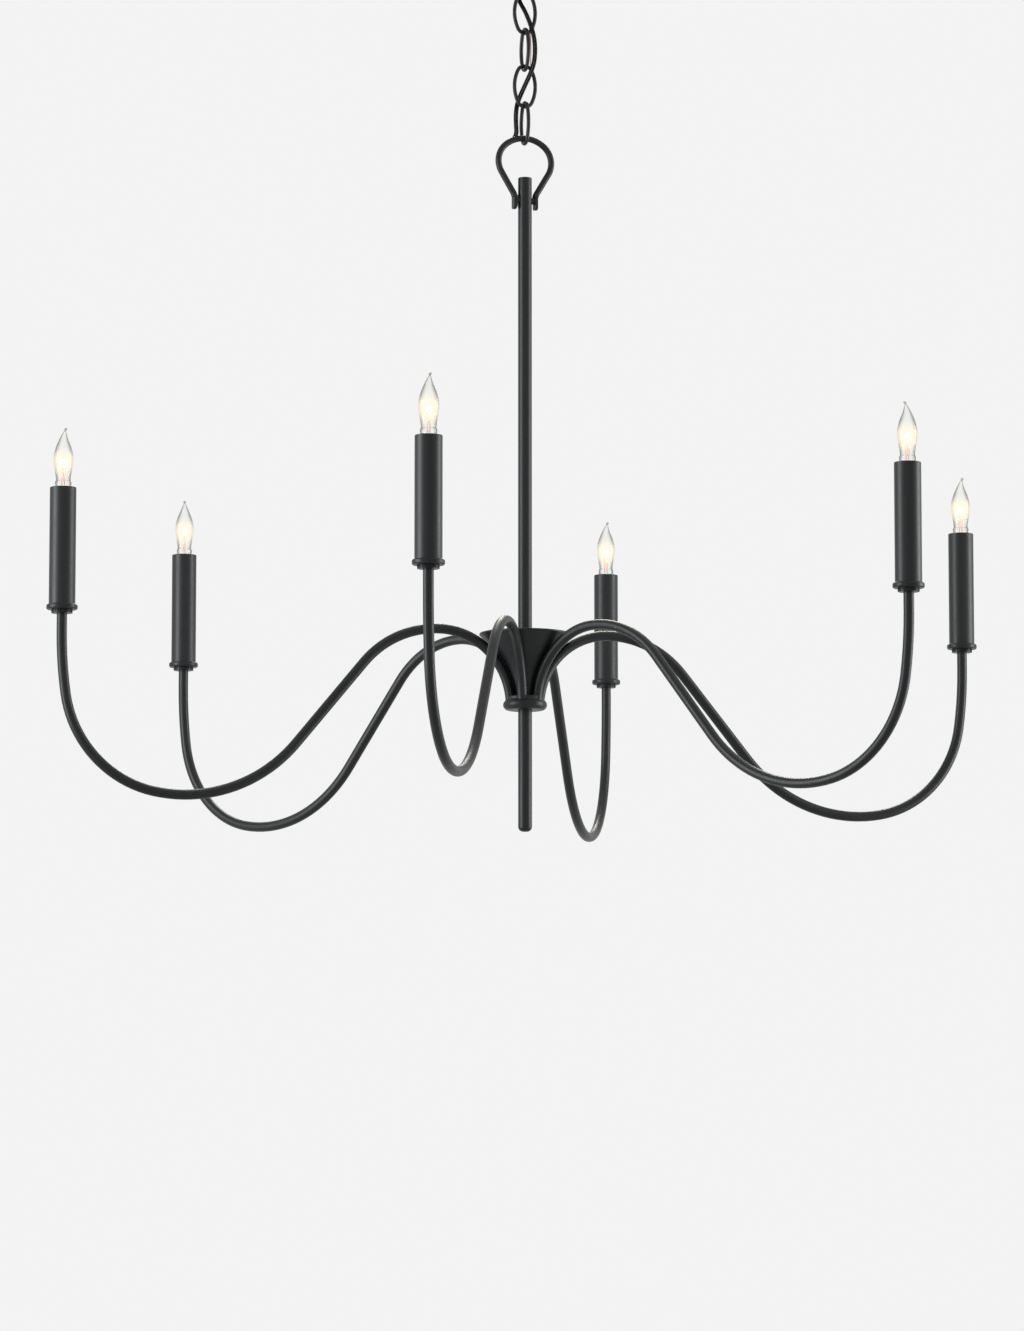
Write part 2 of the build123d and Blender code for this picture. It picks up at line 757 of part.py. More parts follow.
# Wiring inside the stem, the hub and the arms, with its splice
lead_run = arm_root_r - lead_bend_r * sin(radians(arm_root_heading)) - splice_r - wire_gap
lead_top = arm_post + nut_height + cup_height + spigot_room
lead_steps = [(lead_run,), (lead_bend_r, arm_root_heading)] + arm_steps[:-1] + [(lead_top,)]
lead_curve = walk((splice_r + wire_gap, lead_z), 0.0, lead_steps)[0]
with BuildPart() as internal_wiring:
    with BuildSketch(Plane.XY.offset(splice_top_z)):
        Circle(splice_r)
    extrude(amount=-splice_height)
    sweep_cord(cord_route, cord_breaks[-1], len(cord_route) - 2, 0, 2 * stem_cord_r)
    sweep_cord(earth_route, cord_breaks[-1], len(cord_route) - 2, 0, 2 * earth_wire_r)
    for index in range(arm_count):
        with BuildLine(radial_plane(index)) as lead_line:
            trace(lead_curve)
        with BuildSketch(start_plane(lead_line)):
            Circle(lead_r)
        sweep()
save(internal_wiring, "internal_wiring")
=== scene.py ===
"""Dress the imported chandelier: painted iron, lit flame bulbs, chain and supply cord, in a pale studio."""

from __future__ import annotations

import json
import logging
import math
from dataclasses import dataclass, field
from enum import Enum

import bmesh
import bpy
from mathutils import Matrix, Vector

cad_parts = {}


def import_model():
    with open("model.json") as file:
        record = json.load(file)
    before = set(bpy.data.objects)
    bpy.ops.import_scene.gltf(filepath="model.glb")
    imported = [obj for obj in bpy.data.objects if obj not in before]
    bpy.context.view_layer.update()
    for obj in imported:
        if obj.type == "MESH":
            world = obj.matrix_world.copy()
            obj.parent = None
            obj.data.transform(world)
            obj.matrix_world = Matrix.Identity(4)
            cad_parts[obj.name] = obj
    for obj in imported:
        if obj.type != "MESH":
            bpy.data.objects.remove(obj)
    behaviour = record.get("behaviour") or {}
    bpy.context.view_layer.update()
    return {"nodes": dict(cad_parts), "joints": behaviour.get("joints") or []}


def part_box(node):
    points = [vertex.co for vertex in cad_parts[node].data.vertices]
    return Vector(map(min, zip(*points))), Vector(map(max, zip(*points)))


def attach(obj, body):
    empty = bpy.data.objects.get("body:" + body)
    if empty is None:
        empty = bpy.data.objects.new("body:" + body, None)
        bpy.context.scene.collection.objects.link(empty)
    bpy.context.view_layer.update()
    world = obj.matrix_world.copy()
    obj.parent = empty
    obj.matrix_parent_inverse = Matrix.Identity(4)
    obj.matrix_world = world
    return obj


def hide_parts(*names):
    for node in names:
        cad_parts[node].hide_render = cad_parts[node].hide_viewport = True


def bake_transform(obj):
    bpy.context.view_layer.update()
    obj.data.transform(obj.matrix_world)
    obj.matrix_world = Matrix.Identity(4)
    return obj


LOG = logging.getLogger("chandelier")
FULL_TURN = 2 * math.pi
X_AXIS = Vector((1.0, 0.0, 0.0))
Y_AXIS = Vector((0.0, 1.0, 0.0))
GRAIN_DETAIL = 3.0
MOTTLE_DETAIL = 4.0
EVEN_SHARE = 0.5
NOISE_LOW = 0.3
NOISE_HIGH = 0.7

Point = tuple[float, float, float]
FlatPoint = tuple[float, float]
Colour = tuple[float, float, float, float]
Tree = bpy.types.NodeTree
Node = bpy.types.Node
Socket = bpy.types.NodeSocket


class Slot(Enum):
    """Material slots of the record, listed beside the bulb's pieces."""

    IRON = "black_iron"
    GLASS = "bulb_glass"
    BASE = "lamp_base"
    FILAMENT = "filament_wire"
    CORD = "cord_cover"


class Kind(Enum):
    """Socket types of the node groups."""

    VECTOR = "NodeSocketVector"
    VALUE = "NodeSocketFloat"
    COUNT = "NodeSocketInt"
    COLOUR = "NodeSocketColor"
    MATERIAL = "NodeSocketMaterial"
    GEOMETRY = "NodeSocketGeometry"


def colour(red: float, green: float, blue: float) -> Colour:
    """Make an opaque colour.

    Args:
        red: Linear red.
        green: Linear green.
        blue: Linear blue.

    Returns:
        The colour with full alpha.
    """
    return (red, green, blue, 1.0)


def feed(tree: Tree, node: Node, values: dict) -> None:
    """Link or set the inputs of a node.

    Args:
        tree: The node's tree.
        node: The node.
        values: A socket to link or a constant to set, by the input's name or number.
    """
    for key, value in values.items():
        if isinstance(value, Socket):
            tree.links.new(value, node.inputs[key])
        else:
            node.inputs[key].default_value = value


def add_node(tree: Tree, kind: str, values: dict | None = None, **options: object) -> Node:
    """Add a node.

    Args:
        tree: The tree that takes it.
        kind: The node's type.
        values: What its inputs get, as feed takes it.
        options: The node's own settings.

    Returns:
        The node.
    """
    node = tree.nodes.new(kind)
    for label, option in options.items():
        setattr(node, label, option)
    feed(tree, node, values or {})
    return node


def maths(tree: Tree, operation: str, *values: Socket | float) -> Socket:
    """Add a Math node.

    Args:
        tree: The tree that takes it.
        operation: What it works out.
        values: Its sockets or numbers, in order.

    Returns:
        The result.
    """
    return add_node(tree, "ShaderNodeMath", dict(enumerate(values)), operation=operation).outputs["Value"]


def step_up(tree: Tree, value: Socket, start: float, end: float, shape: str = "SMOOTHSTEP") -> Socket:
    """Add a step from 0 to 1.

    Args:
        tree: The tree that takes it.
        value: What it follows.
        start: Value where it is 0.
        end: Value where it is 1.
        shape: How it passes between them.

    Returns:
        The step.
    """
    values = {"Value": value, "From Min": start, "From Max": end}
    return add_node(tree, "ShaderNodeMapRange", values, interpolation_type=shape).outputs["Result"]


def place_of(tree: Tree) -> Socket:
    """Read the place on an object.

    Args:
        tree: The material's tree.

    Returns:
        The point in the part's frame.
    """
    return add_node(tree, "ShaderNodeTexCoord").outputs["Object"]


def height_of(tree: Tree) -> Socket:
    """Read the height on an object.

    Args:
        tree: The material's tree.

    Returns:
        The height in the part's frame.
    """
    return add_node(tree, "ShaderNodeSeparateXYZ", {"Vector": place_of(tree)}).outputs["Z"]


def mix_colours(tree: Tree, factor: Socket, low: Socket, high: Socket | Colour) -> Socket:
    """Mix two colours by a factor.

    Args:
        tree: The tree that takes the node.
        factor: 0 gives low, and 1 gives high.
        low: Colour at 0.
        high: Colour at 1.

    Returns:
        The mixed colour.
    """
    node = add_node(tree, "ShaderNodeMix", {"Factor": factor, "A": low, "B": high}, data_type="RGBA")
    return next(s for s in node.outputs if s.type == "RGBA")


def new_group(family: str, name: str, inputs: dict[str, Kind], outputs: dict[str, Kind]) -> tuple:
    """Start a node group.

    Args:
        family: Type of the tree.
        name: The group's name.
        inputs: Socket names and types on the left.
        outputs: Socket names and types on the right.

    Returns:
        The tree, its input node's sockets by name, and its output node.
    """
    tree = bpy.data.node_groups.new(name, family)
    for side, sockets in (("INPUT", inputs), ("OUTPUT", outputs)):
        for label, kind in sockets.items():
            tree.interface.new_socket(label, in_out=side, socket_type=kind.value)
    return tree, tree.nodes.new("NodeGroupInput").outputs, tree.nodes.new("NodeGroupOutput")


def new_material(name: str) -> tuple[bpy.types.Material, Tree, Node]:
    """Start a material.

    Args:
        name: Its name.

    Returns:
        The material, its tree and its shader.
    """
    material = bpy.data.materials.new(name)
    material.use_nodes = True
    return material, material.node_tree, material.node_tree.nodes["Principled BSDF"]


def surface_grain() -> Tree:
    """Build the group that every solid finish uses: broad mottling, a fine grain and its height.

    Returns:
        The group's tree.
    """
    tree, given, result = new_group(
        "ShaderNodeTree",
        "surface_grain",
        {"Vector": Kind.VECTOR, "Grain Scale": Kind.VALUE, "Mottle Scale": Kind.VALUE, "Dark": Kind.COLOUR,
         "Light": Kind.COLOUR, "Smooth": Kind.VALUE, "Rough": Kind.VALUE},
        {"Color": Kind.COLOUR, "Roughness": Kind.VALUE, "Height": Kind.VALUE},
    )
    grain, mottle = (
        add_node(tree, "ShaderNodeTexNoise", {"Vector": given["Vector"], "Scale": given[label],
                                              "Detail": detail}).outputs["Fac"]
        for label, detail in (("Grain Scale", GRAIN_DETAIL), ("Mottle Scale", MOTTLE_DETAIL)))
    mixed = maths(tree, "MULTIPLY_ADD", grain, EVEN_SHARE, maths(tree, "MULTIPLY", mottle, EVEN_SHARE))
    rough = add_node(tree, "ShaderNodeMapRange", {
        "Value": mixed, "From Min": NOISE_LOW, "From Max": NOISE_HIGH, "To Min": given["Smooth"],
        "To Max": given["Rough"]})
    feed(tree, result, {
        "Color": mix_colours(tree, mixed, given["Dark"], given["Light"]),
        "Roughness": rough.outputs["Result"],
        "Height": grain,
    })
    return tree


@dataclass(frozen=True)
class SolidFinish:
    """An opaque finish with grain, such as paint, plating or moulded plastic."""

    name: str
    dark: Colour
    light: Colour
    smooth: float
    rough: float
    grain_scale: float
    mottle_scale: float
    grain_depth: float
    metallic: float = 0.0
    specular: float = 0.5

    def build(self, grain: Tree) -> bpy.types.Material:
        """Make the material.

        Args:
            grain: The shared surface_grain group.

        Returns:
            The material.
        """
        material, tree, shader = new_material(self.name)
        group = add_node(tree, "ShaderNodeGroup", node_tree=grain)
        feed(tree, group, {
            "Vector": place_of(tree), "Grain Scale": self.grain_scale, "Mottle Scale": self.mottle_scale,
            "Dark": self.dark, "Light": self.light, "Smooth": self.smooth, "Rough": self.rough})
        bump = add_node(tree, "ShaderNodeBump", {
            "Distance": self.grain_depth, "Height": group.outputs["Height"]})
        feed(tree, shader, {
            "Base Color": group.outputs["Color"], "Roughness": group.outputs["Roughness"],
            "Normal": bump.outputs["Normal"], "Metallic": self.metallic, "Specular IOR Level": self.specular})
        return material


@dataclass(frozen=True)
class GlassFinish:
    """Clear blown glass with painted shade greying it towards its rim and on its tip bead, and a painted warm
    glow where the filament burns.
    """

    name: str
    tint: Colour
    painted_rim_shade: Colour
    rim_shade_start: float
    rim_shade_end: float
    painted_glow_tint: Colour
    painted_glow_tint_share: float
    glow: Colour
    glow_strength: float
    glow_heights: tuple[float, ...]
    nib_height: float
    nib_fade: float
    painted_tip_shade_share: float
    ior: float

    def build(self) -> bpy.types.Material:
        """Make the material.

        Returns:
            The material.
        """
        material, tree, shader = new_material(self.name)
        # Painted shade: Layer Weight facing greys the glass towards its rim, in place of the dark outlines
        # that refraction shows.
        facing = add_node(tree, "ShaderNodeLayerWeight")
        ramp = add_node(tree, "ShaderNodeValToRGB", {"Fac": facing.outputs["Facing"]})
        middle, rim = ramp.color_ramp.elements
        middle.color, middle.position = self.tint, self.rim_shade_start
        rim.color, rim.position = self.painted_rim_shade, self.rim_shade_end
        # Painted light: in a band round the filament's height the glass is tinted warm and glows, though it
        # is no lamp.
        height = height_of(tree)
        foot, low, high, top = self.glow_heights
        painted_glow_band = maths(tree, "MULTIPLY", step_up(tree, height, foot, low), step_up(tree, height, top, high))
        painted_glow_tint_level = maths(tree, "MULTIPLY", painted_glow_band, self.painted_glow_tint_share)
        body = mix_colours(tree, painted_glow_tint_level, ramp.outputs["Color"], self.painted_glow_tint)
        # Painted shade: the tip bead's colour is pulled towards the dark rim shade.
        tip = step_up(tree, height, self.nib_height - self.nib_fade, self.nib_height)
        painted_tip_shade = maths(tree, "MULTIPLY", tip, self.painted_tip_shade_share)
        feed(tree, shader, {
            "Base Color": mix_colours(tree, painted_tip_shade, body, self.painted_rim_shade),
            "Emission Strength": maths(tree, "MULTIPLY", painted_glow_band, self.glow_strength),
            "Emission Color": self.glow,
            "Roughness": 0.0,
            "IOR": self.ior,
            "Transmission Weight": 1.0,
        })
        return material


@dataclass(frozen=True)
class GlowFinish:
    """A wire that glows, from cool at its low height to hot at its high one: the filament's own glow, or
    painted glow on wires that are no lamp.
    """

    name: str
    hot: Colour
    cool: Colour
    strength: float
    low: float
    high: float

    def build(self) -> bpy.types.Material:
        """Make the material.

        Returns:
            The material.
        """
        material, tree, shader = new_material(self.name)
        level = step_up(tree, height_of(tree), self.low, self.high, "LINEAR")
        ramp = add_node(tree, "ShaderNodeValToRGB", {"Fac": level})
        ramp.color_ramp.elements[0].color = self.cool
        ramp.color_ramp.elements[1].color = self.hot
        feed(tree, shader, {
            "Base Color": self.cool, "Emission Color": ramp.outputs["Color"],
            "Emission Strength": self.strength})
        return material


@dataclass
class Finishes:
    """Every material of the scene, made once; heights of the bulb are above the sleeve's top."""

    sleeve_top: float
    glow_rises: tuple[float, ...] = (0.008, 0.025, 0.030, 0.046)
    nib_rise: float = 0.0625
    support_rise: float = 0.02
    filament_rises: FlatPoint = (0.02, 0.027)

    def __post_init__(self) -> None:
        """Make the materials from their finishes."""
        grain = surface_grain()
        self.iron = SolidFinish(
            "matte_black_iron", colour(0.0052, 0.0058, 0.0063), colour(0.0105, 0.0115, 0.0123),
            smooth=0.35, rough=0.45, grain_scale=1500.0, mottle_scale=70.0, grain_depth=0.00002,
            specular=0.22).build(grain)
        self.sleeve = SolidFinish(
            "matte_black_sleeve", colour(0.0058, 0.0063, 0.0066), colour(0.0110, 0.0119, 0.0125),
            smooth=0.38, rough=0.48, grain_scale=1700.0, mottle_scale=60.0, grain_depth=0.00002,
            specular=0.26).build(grain)
        self.zinc = SolidFinish(
            "zinc_plate", colour(0.45, 0.46, 0.46), colour(0.62, 0.62, 0.60), smooth=0.28, rough=0.45,
            grain_scale=900.0, mottle_scale=55.0, grain_depth=0.00004, metallic=1.0).build(grain)
        self.socket = SolidFinish(
            "moulded_socket", colour(0.018, 0.017, 0.016), colour(0.03, 0.029, 0.027), smooth=0.35, rough=0.5,
            grain_scale=1500.0, mottle_scale=90.0, grain_depth=0.00005).build(grain)
        self.brass = SolidFinish(
            "rolled_brass", colour(0.55, 0.38, 0.15), colour(0.72, 0.53, 0.24), smooth=0.22, rough=0.38,
            grain_scale=1200.0, mottle_scale=120.0, grain_depth=0.00003, metallic=1.0).build(grain)
        self.cord = SolidFinish(
            "cord_jacket", colour(0.0012, 0.0012, 0.0012), colour(0.003, 0.003, 0.0031), smooth=0.26,
            rough=0.36, grain_scale=1400.0, mottle_scale=150.0, grain_depth=0.00004,
            specular=0.16).build(grain)
        self.copper = SolidFinish(
            "bare_copper", colour(0.13, 0.045, 0.022), colour(0.24, 0.09, 0.045), smooth=0.38, rough=0.52,
            grain_scale=1600.0, mottle_scale=180.0, grain_depth=0.00003, metallic=1.0).build(grain)
        self.floor = SolidFinish(
            "pale_floor", colour(0.56, 0.56, 0.555), colour(0.60, 0.60, 0.595), smooth=0.75, rough=0.85,
            grain_scale=300.0, mottle_scale=2.0, grain_depth=0.0001, specular=0.1).build(grain)
        # The glass carries painted light: shade greying its rim, shade on its tip bead and a warm glow band.
        self.glass = GlassFinish(
            "clear_glass", tint=colour(0.980, 0.983, 0.960), painted_rim_shade=colour(0.10, 0.105, 0.095), rim_shade_start=0.14,
            rim_shade_end=0.9, painted_glow_tint=colour(1.0, 0.925, 0.82), painted_glow_tint_share=0.66, glow=colour(1.0, 0.83, 0.60),
            glow_strength=0.062, glow_heights=tuple(self.sleeve_top + rise for rise in self.glow_rises),
            nib_height=self.sleeve_top + self.nib_rise, nib_fade=0.002, painted_tip_shade_share=0.55, ior=1.16).build()
        # Painted light: the support wires glow, hotter towards the filament, though they are no lamp.
        self.wire = GlowFinish(
            "painted_glow_supports", hot=colour(1.0, 0.46, 0.22), cool=colour(0.52, 0.20, 0.11), strength=0.55,
            low=self.sleeve_top, high=self.sleeve_top + self.support_rise).build()
        low, high = self.filament_rises
        self.filament = GlowFinish(
            "lit_filament", hot=colour(1.0, 0.80, 0.50), cool=colour(1.0, 0.50, 0.18), strength=9.0,
            low=self.sleeve_top + low, high=self.sleeve_top + high).build()


def new_object(name: str, data: bpy.types.ID) -> bpy.types.Object:
    """Put a mesh, curve, lamp or camera into the scene, at the origin.

    Args:
        name: The object's name.
        data: What it holds.

    Returns:
        The object.
    """
    thing = bpy.data.objects.new(name, data)
    bpy.context.scene.collection.objects.link(thing)
    return thing


def mesh_from(bm: bmesh.types.BMesh, name: str, *materials: bpy.types.Material) -> bpy.types.Mesh:
    """Turn a bmesh into a smooth mesh whose faces look outwards.

    Args:
        bm: The finished bmesh, which is freed.
        name: The mesh's name.
        materials: Its material slots, in order.

    Returns:
        The mesh.
    """
    bmesh.ops.recalc_face_normals(bm, faces=bm.faces)
    mesh = bpy.data.meshes.new(name)
    bm.to_mesh(mesh)
    bm.free()
    for material in materials:
        mesh.materials.append(material)
    mesh.shade_smooth()
    return mesh


def evaluated(thing: bpy.types.Object) -> bpy.types.Mesh:
    """Work out an object's spline or modifiers and remove the object.

    Args:
        thing: The scratch object.

    Returns:
        Its shape as a mesh.
    """
    bpy.context.view_layer.update()
    graph = bpy.context.evaluated_depsgraph_get()
    mesh = bpy.data.meshes.new_from_object(thing.evaluated_get(graph), depsgraph=graph)
    bpy.data.objects.remove(thing)
    return mesh


def add_lathe(bm: bmesh.types.BMesh, profile: list[FlatPoint], segments: int, slot: int = 0) -> list:
    """Turn a profile of radius and height about Z; a radius of 0 closes to a pole.

    Args:
        bm: The bmesh that takes it.
        profile: Points from one end to the other.
        segments: Steps round the axis.
        slot: Material slot of its faces.

    Returns:
        The new vertices.
    """
    rings = []
    for radius, height in profile:
        circle = round_outline(radius, segments) if radius > 0.0 else [(0.0, 0.0)]
        rings.append([bm.verts.new((x, y, height)) for x, y in circle])
    for lower, upper in zip(rings, rings[1:]):
        for step in range(segments):
            after = (step + 1) % segments
            corners = [lower[step % len(lower)], lower[after % len(lower)], upper[after % len(upper)],
                       upper[step % len(upper)]]
            face = bm.faces.new(list(dict.fromkeys(corners)))
            face.material_index = slot
    return [vertex for ring in rings for vertex in ring]


def add_sweep(bm: bmesh.types.BMesh, path: list[Vector], outline: list[FlatPoint],
              width_along: Vector) -> None:
    """Sweep a closed outline along a path and cap both ends.

    Args:
        bm: The bmesh that takes it.
        path: Points that the centre follows.
        outline: Points across the path, width first.
        width_along: Direction that the outline's width keeps to.
    """
    rings = []
    for number, point in enumerate(path):
        ahead = path[min(number + 1, len(path) - 1)] - path[max(number - 1, 0)]
        ahead.normalize()
        across = (width_along - ahead * width_along.dot(ahead)).normalized()
        beside = ahead.cross(across)
        rings.append([bm.verts.new(point + across * u + beside * v) for u, v in outline])
    count = len(outline)
    for lower, upper in zip(rings, rings[1:]):
        for step in range(count):
            after = (step + 1) % count
            bm.faces.new((lower[step], lower[after], upper[after], upper[step]))
    bm.faces.new(list(reversed(rings[0])))
    bm.faces.new(rings[-1])


def round_outline(radius: float, sides: int) -> list[FlatPoint]:
    """Place points round a circle.

    Args:
        radius: The circle's radius.
        sides: Number of points.

    Returns:
        The points, from the X axis.
    """
    turns = (FULL_TURN * step / sides for step in range(sides))
    return [(radius * math.cos(a), radius * math.sin(a)) for a in turns]


def smooth_profile(points: list[FlatPoint], steps: int) -> list[FlatPoint]:
    """Draw a smooth line through a few points of a profile, with Catmull-Rom weights.

    Args:
        points: Radius and height of each point.
        steps: Pieces between two points.

    Returns:
        The line's points.
    """
    padded = [points[0], *points, points[-1]]
    line = []
    for corners in zip(padded, padded[1:], padded[2:], padded[3:]):
        for t in (step / steps for step in range(steps)):
            weights = (-0.5 * t + t * t - 0.5 * t**3, 1 - 2.5 * t * t + 1.5 * t**3,
                       0.5 * t + 2 * t * t - 1.5 * t**3, -0.5 * t * t + 0.5 * t**3)
            line.append(tuple(sum(w * c[i] for w, c in zip(weights, corners)) for i in (0, 1)))
    return [*line, points[-1]]


def curve_object(name: str, kind: str, points: list) -> bpy.types.Object:
    """Make a curve object of one open spline.

    Args:
        name: The object's name.
        kind: POLY or NURBS.
        points: The spline's points.

    Returns:
        The object.
    """
    data = bpy.data.curves.new(name, "CURVE")
    data.dimensions = "3D"
    spline = data.splines.new(kind)
    spline.points.add(len(points) - 1)
    for target, point in zip(spline.points, points):
        target.co = (*point, 1.0)
    return new_object(name, data)


def shape_by_nodes(tree: Tree, line: list[Point], values: dict[str, object], name: str) -> bpy.types.Mesh:
    """Run a Geometry Nodes tree on a line.

    Args:
        tree: The tree.
        line: Points of the line that it reads.
        values: The tree's other inputs, by their names.
        name: Name of the new mesh.

    Returns:
        The result as a plain mesh.
    """
    base = curve_object(f"{name}_line", "POLY", line)
    modifier = base.modifiers.new("shape", "NODES")
    modifier.node_group = tree
    sockets = {s.name: s.identifier for s in tree.interface.items_tree if s.in_out == "INPUT"}
    for label, value in values.items():
        modifier[sockets[label]] = value
    mesh = evaluated(base)
    mesh.name = name
    mesh.shade_smooth()
    return mesh


def end_as_wire(tree: Tree, curve: Socket, given: bpy.types.bpy_prop_collection, output: Node) -> None:
    """End a tree with a round wire along a curve, closed at its ends and in its finish.

    Args:
        tree: The tree.
        curve: The wire's line.
        given: The tree's inputs by name.
        output: The tree's output node.
    """
    section = add_node(tree, "GeometryNodeCurvePrimitiveCircle", {
        "Radius": given["Wire Radius"], "Resolution": given["Sides"]})
    wire = add_node(tree, "GeometryNodeCurveToMesh", {
        "Curve": curve, "Profile Curve": section.outputs["Curve"], "Fill Caps": True})
    paint = add_node(tree, "GeometryNodeSetMaterial", {
        "Geometry": wire.outputs["Mesh"], "Material": given["Finish"]})
    feed(tree, output, {"Geometry": paint.outputs["Geometry"]})


def link_tree() -> Tree:
    """Build the tree of a chain link: a wire bent round an oval, with its two ends butted on one side.

    Returns:
        The tree.
    """
    tree, given, output = new_group(
        "GeometryNodeTree",
        "chain_link",
        {"Geometry": Kind.GEOMETRY, "Wire Radius": Kind.VALUE, "Sides": Kind.COUNT, "Steps": Kind.COUNT,
         "Seam": Kind.VALUE, "Finish": Kind.MATERIAL},
        {"Geometry": Kind.GEOMETRY},
    )
    even = add_node(tree, "GeometryNodeResampleCurve", {"Curve": given["Geometry"], "Count": given["Steps"]})
    length = add_node(tree, "GeometryNodeCurveLength", {"Curve": even.outputs["Curve"]})
    trim = add_node(tree, "GeometryNodeTrimCurve", {"Curve": even.outputs["Curve"]}, mode="LENGTH")
    start, end = [s for s in trim.inputs if s.enabled and s.type == "VALUE"][:2]
    tree.links.new(given["Seam"], start)
    tree.links.new(maths(tree, "SUBTRACT", length.outputs["Length"], given["Seam"]), end)
    end_as_wire(tree, trim.outputs["Curve"], given, output)
    return tree


def coil_tree() -> Tree:
    """Build the tree of a filament: a zigzag with rounded corners, wound as a fine coil.

    Returns:
        The tree.
    """
    tree, given, output = new_group(
        "GeometryNodeTree",
        "filament_coil",
        {"Geometry": Kind.GEOMETRY, "Bend Radius": Kind.VALUE, "Bend Steps": Kind.COUNT,
         "Coil Radius": Kind.VALUE, "Turns": Kind.VALUE, "Steps": Kind.COUNT, "Wire Radius": Kind.VALUE,
         "Sides": Kind.COUNT, "Finish": Kind.MATERIAL},
        {"Geometry": Kind.GEOMETRY},
    )
    bends = {"Curve": given["Geometry"], "Radius": given["Bend Radius"], "Count": given["Bend Steps"]}
    soft = add_node(tree, "GeometryNodeFilletCurve", bends, mode="POLY").outputs["Curve"]
    even = add_node(tree, "GeometryNodeResampleCurve", {"Curve": soft, "Count": given["Steps"]})
    share = add_node(tree, "GeometryNodeSplineParameter").outputs["Factor"]
    turn = maths(tree, "MULTIPLY", maths(tree, "MULTIPLY", share, given["Turns"]), FULL_TURN)
    normal = add_node(tree, "GeometryNodeInputNormal").outputs["Normal"]
    tangent = add_node(tree, "GeometryNodeInputTangent").outputs["Tangent"]
    side = add_node(tree, "ShaderNodeVectorMath", {0: tangent, 1: normal}, operation="CROSS_PRODUCT")
    pushes = {}
    for number, (wave, direction) in enumerate((("COSINE", normal), ("SINE", side.outputs["Vector"]))):
        reach = maths(tree, "MULTIPLY", maths(tree, wave, turn), given["Coil Radius"])
        push = add_node(tree, "ShaderNodeVectorMath", {0: direction, "Scale": reach}, operation="SCALE")
        pushes[number] = push.outputs["Vector"]
    both = add_node(tree, "ShaderNodeVectorMath", pushes, operation="ADD")
    move = add_node(tree, "GeometryNodeSetPosition", {
        "Geometry": even.outputs["Curve"], "Offset": both.outputs["Vector"]})
    end_as_wire(tree, move.outputs["Geometry"], given, output)
    return tree


@dataclass
class Ironwork:
    """The fixed metal and plastic pieces, which keep their own solids."""

    finishes: Finishes
    arm_count: int = 6

    def dress(self, nodes: dict[str, bpy.types.Object]) -> None:
        """Give each solid that stays its material.

        Args:
            nodes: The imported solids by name.
        """
        iron = ["canopy", "canopy_loop", "hanger_bail", "bail_pin", "stem", "finial_rod", "hub_collar",
                "hub_cone", "hub_cover", "cup_nuts"]
        numbers = range(1, self.arm_count + 1)
        iron += [f"{name}_{k}" for name in ("arm", "candle_cup") for k in numbers]
        groups = [
            (self.finishes.iron, iron),
            (self.finishes.sleeve, [f"candle_sleeve_{k}" for k in numbers]),
            (self.finishes.zinc, ["mounting_bar", "hub_nipple"]),
            (self.finishes.socket, ["lamp_sockets"]),
            (self.finishes.cord, ["internal_wiring"]),
        ]
        for material, names in groups:
            for name in names:
                for slot in nodes[name].material_slots:
                    slot.material = material
            LOG.info("%s on %d solids", material.name, len(names))


@dataclass
class Chain:
    """Four oval links, each a bent wire whose ends meet on one side."""

    finishes: Finishes
    count: int = 4
    wire_radius: float = 0.0021
    end_radius: float = 0.009
    seam: float = 0.0003
    sides: int = 24
    steps: int = 160
    arc_steps: int = 24
    seam_sides: tuple[int, ...] = (-1, 1, 1, -1)

    def oval(self, half_span: float, half_rise: float, seam_side: int) -> list[FlatPoint]:
        """Draw the link's line, from its seam once round.

        Args:
            half_span: Half the width between the wire's centres.
            half_rise: Half the height between the wire's centres.
            seam_side: 1 puts the seam at the positive side.

        Returns:
            Points across and up.
        """
        end = half_rise - self.end_radius
        side_radius = (half_span**2 + end**2 - self.end_radius**2) / (2 * (half_span - self.end_radius))
        centre = half_span - side_radius
        tilt = math.atan2(end, -centre)
        shares = [step / self.arc_steps for step in range(self.arc_steps)]
        quarter = [(centre + side_radius * math.cos(a), side_radius * math.sin(a))
                   for a in (tilt * share for share in shares)]
        quarter += [(self.end_radius * math.cos(a), end + self.end_radius * math.sin(a))
                    for a in (tilt + (math.pi / 2 - tilt) * share for share in shares)]
        top = (0.0, half_rise)
        upper = [*quarter, top, *((-x, y) for x, y in reversed(quarter))]
        lower = [(x, -y) for x, y in reversed(upper[:-1])]
        return [(x * seam_side, y) for x, y in [*upper, *lower]]

    def build(self) -> None:
        """Make each link in place of its solid."""
        tree = link_tree()
        values = {"Wire Radius": self.wire_radius, "Sides": self.sides, "Steps": self.steps,
                  "Seam": self.seam, "Finish": self.finishes.iron}
        for number in range(1, self.count + 1):
            low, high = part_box(f"chain_link_{number}")
            size, centre = high - low, (high + low) / 2
            half_span = max(size.x, size.y) / 2 - self.wire_radius
            line = self.oval(half_span, size.z / 2 - self.wire_radius, self.seam_sides[number - 1])
            across = X_AXIS if size.x > size.y else Y_AXIS
            points = [centre + across * u + Vector((0.0, 0.0, v)) for u, v in line]
            link = new_object(f"link_wire_{number}", shape_by_nodes(tree, points, values, f"link_{number}"))
            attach(link, f"link_{number}")
            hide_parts(f"chain_link_{number}")
            LOG.info("link %d", number)


